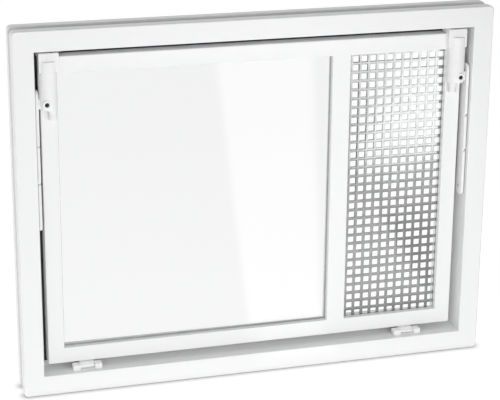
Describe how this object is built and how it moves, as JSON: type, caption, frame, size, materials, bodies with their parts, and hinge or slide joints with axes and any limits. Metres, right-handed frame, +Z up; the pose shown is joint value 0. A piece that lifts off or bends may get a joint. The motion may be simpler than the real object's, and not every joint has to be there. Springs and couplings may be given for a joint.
{
  "type": "tilt-in utility window",
  "caption": "White tilt-in utility window: rounded frame, bottom-hinged sash with a glazed field and a perforated steel vent field, slide-bolt latches and guided side stays.",
  "frame": {"origin": "bottom centre of the outer frame's box", "axes": "+X along the sill, to the right seen from the room; +Y out of the room, through the wall; +Z up"},
  "size_m": [0.85, 0.06, 0.65],
  "materials": {
    "white_plastic": "white moulded plastic, satin gloss",
    "grey_seal": "grey glazing gasket",
    "black_seal": "black seal rubber",
    "clear_glass": "clear float glass",
    "galvanised_sheet": "galvanised perforated sheet",
    "zinc_steel": "zinc plated",
    "white_coated_steel": "white powder coat"
  },
  "bodies": {
    "frame": {"frame_head": "white_plastic", "frame_sill": "white_plastic", "frame_jamb_left": "white_plastic", "frame_jamb_right": "white_plastic", "rebate_seal": "black_seal", "hinge_block_left": "white_plastic", "hinge_pin_left": "zinc_steel", "keeper_plate_left": "zinc_steel", "hinge_block_right": "white_plastic", "hinge_pin_right": "zinc_steel", "keeper_plate_right": "zinc_steel"},
    "sash": {"sash_top_rail": "white_plastic", "sash_bottom_rail": "white_plastic", "sash_stile_left": "white_plastic", "sash_stile_right": "white_plastic", "sash_mullion": "white_plastic", "glass_gasket": "grey_seal", "mesh_gasket": "grey_seal", "glass_bead": "white_plastic", "mesh_bead": "white_plastic", "glass_pane": "clear_glass", "perforated_sheet": "galvanised_sheet", "hinge_knuckle_left": "white_plastic", "corner_block_left": "white_plastic", "latch_housing_left": "white_plastic", "housing_screw_left": "zinc_steel", "stay_pivot_pin_left": "zinc_steel", "hinge_knuckle_right": "white_plastic", "corner_block_right": "white_plastic", "latch_housing_right": "white_plastic", "housing_screw_right": "zinc_steel", "stay_pivot_pin_right": "zinc_steel"},
    "bolt_left": {"latch_bolt_left": "zinc_steel", "latch_knob_left": "white_plastic", "bolt_ring_left": "black_seal"},
    "stay_left": {"stay_left": "white_coated_steel", "stay_stud_left": "zinc_steel"},
    "bolt_right": {"latch_bolt_right": "zinc_steel", "latch_knob_right": "white_plastic", "bolt_ring_right": "black_seal"},
    "stay_right": {"stay_right": "white_coated_steel", "stay_stud_right": "zinc_steel"}
  },
  "joints": [
    {"name": "sash_tilt", "type": "hinge", "parent": "frame", "child": "sash", "pos_m": [0, -0.014, 0.042], "axis": [1, 0, 0], "range_deg": [0, 15]},
    {"name": "bolt_left_slide", "type": "slide", "parent": "sash", "child": "bolt_left", "axis": [0, 0, 1], "range_m": [0, 0.009]},
    {"name": "bolt_right_slide", "type": "slide", "parent": "sash", "child": "bolt_right", "axis": [0, 0, 1], "range_m": [0, 0.009]},
    {"name": "stay_left_swing", "type": "hinge", "parent": "sash", "child": "stay_left", "pos_m": [-0.3822, -0.0075, 0.523], "axis": [1, 0, 0], "range_deg": [0, 22]},
    {"name": "stay_right_swing", "type": "hinge", "parent": "sash", "child": "stay_right", "pos_m": [0.3822, -0.0075, 0.523], "axis": [1, 0, 0], "range_deg": [0, 22]}
  ],
  "couplings": [
    {"joint": "stay_left_swing", "follows": "sash_tilt", "ratio": 1.45},
    {"joint": "stay_right_swing", "follows": "sash_tilt", "ratio": 1.45}
  ]
}
